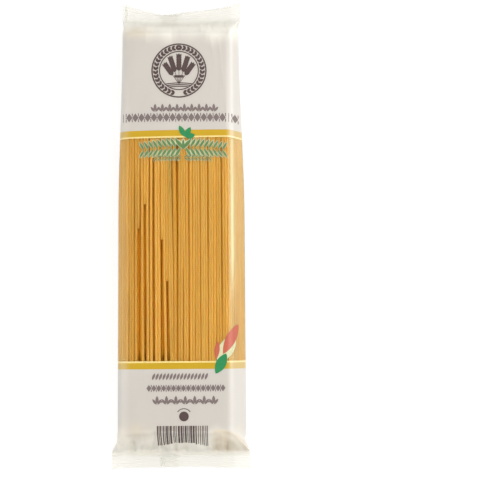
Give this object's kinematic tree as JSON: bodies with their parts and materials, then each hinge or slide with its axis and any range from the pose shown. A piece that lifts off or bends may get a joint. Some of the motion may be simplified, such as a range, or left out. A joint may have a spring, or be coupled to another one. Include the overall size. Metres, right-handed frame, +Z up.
{
  "type": "pasta packet",
  "caption": "Sealed film packet of spaghetti, lying on its back, with printed bands at its ends and a clear window between them.",
  "frame": {"origin": "middle of the packet's bounding box, on the surface that its back lies on", "axes": "+X to the right across the front panel, +Y along the packet to its top end, +Z up out of the front panel"},
  "size_m": [0.0892, 0.3076, 0.022],
  "materials": {
    "pasta": "dry durum wheat pasta, smooth and slightly glassy, seen through clear film",
    "clear_film": "clear polypropylene film with soft creases",
    "printed_film": "the same film printed warm light grey with a soft satin gloss",
    "ink": "printed ink in brown, yellow, green, red and white"
  },
  "bodies": {
    "root": {"spaghetti_packet": "pasta"}
  },
  "joints": []
}
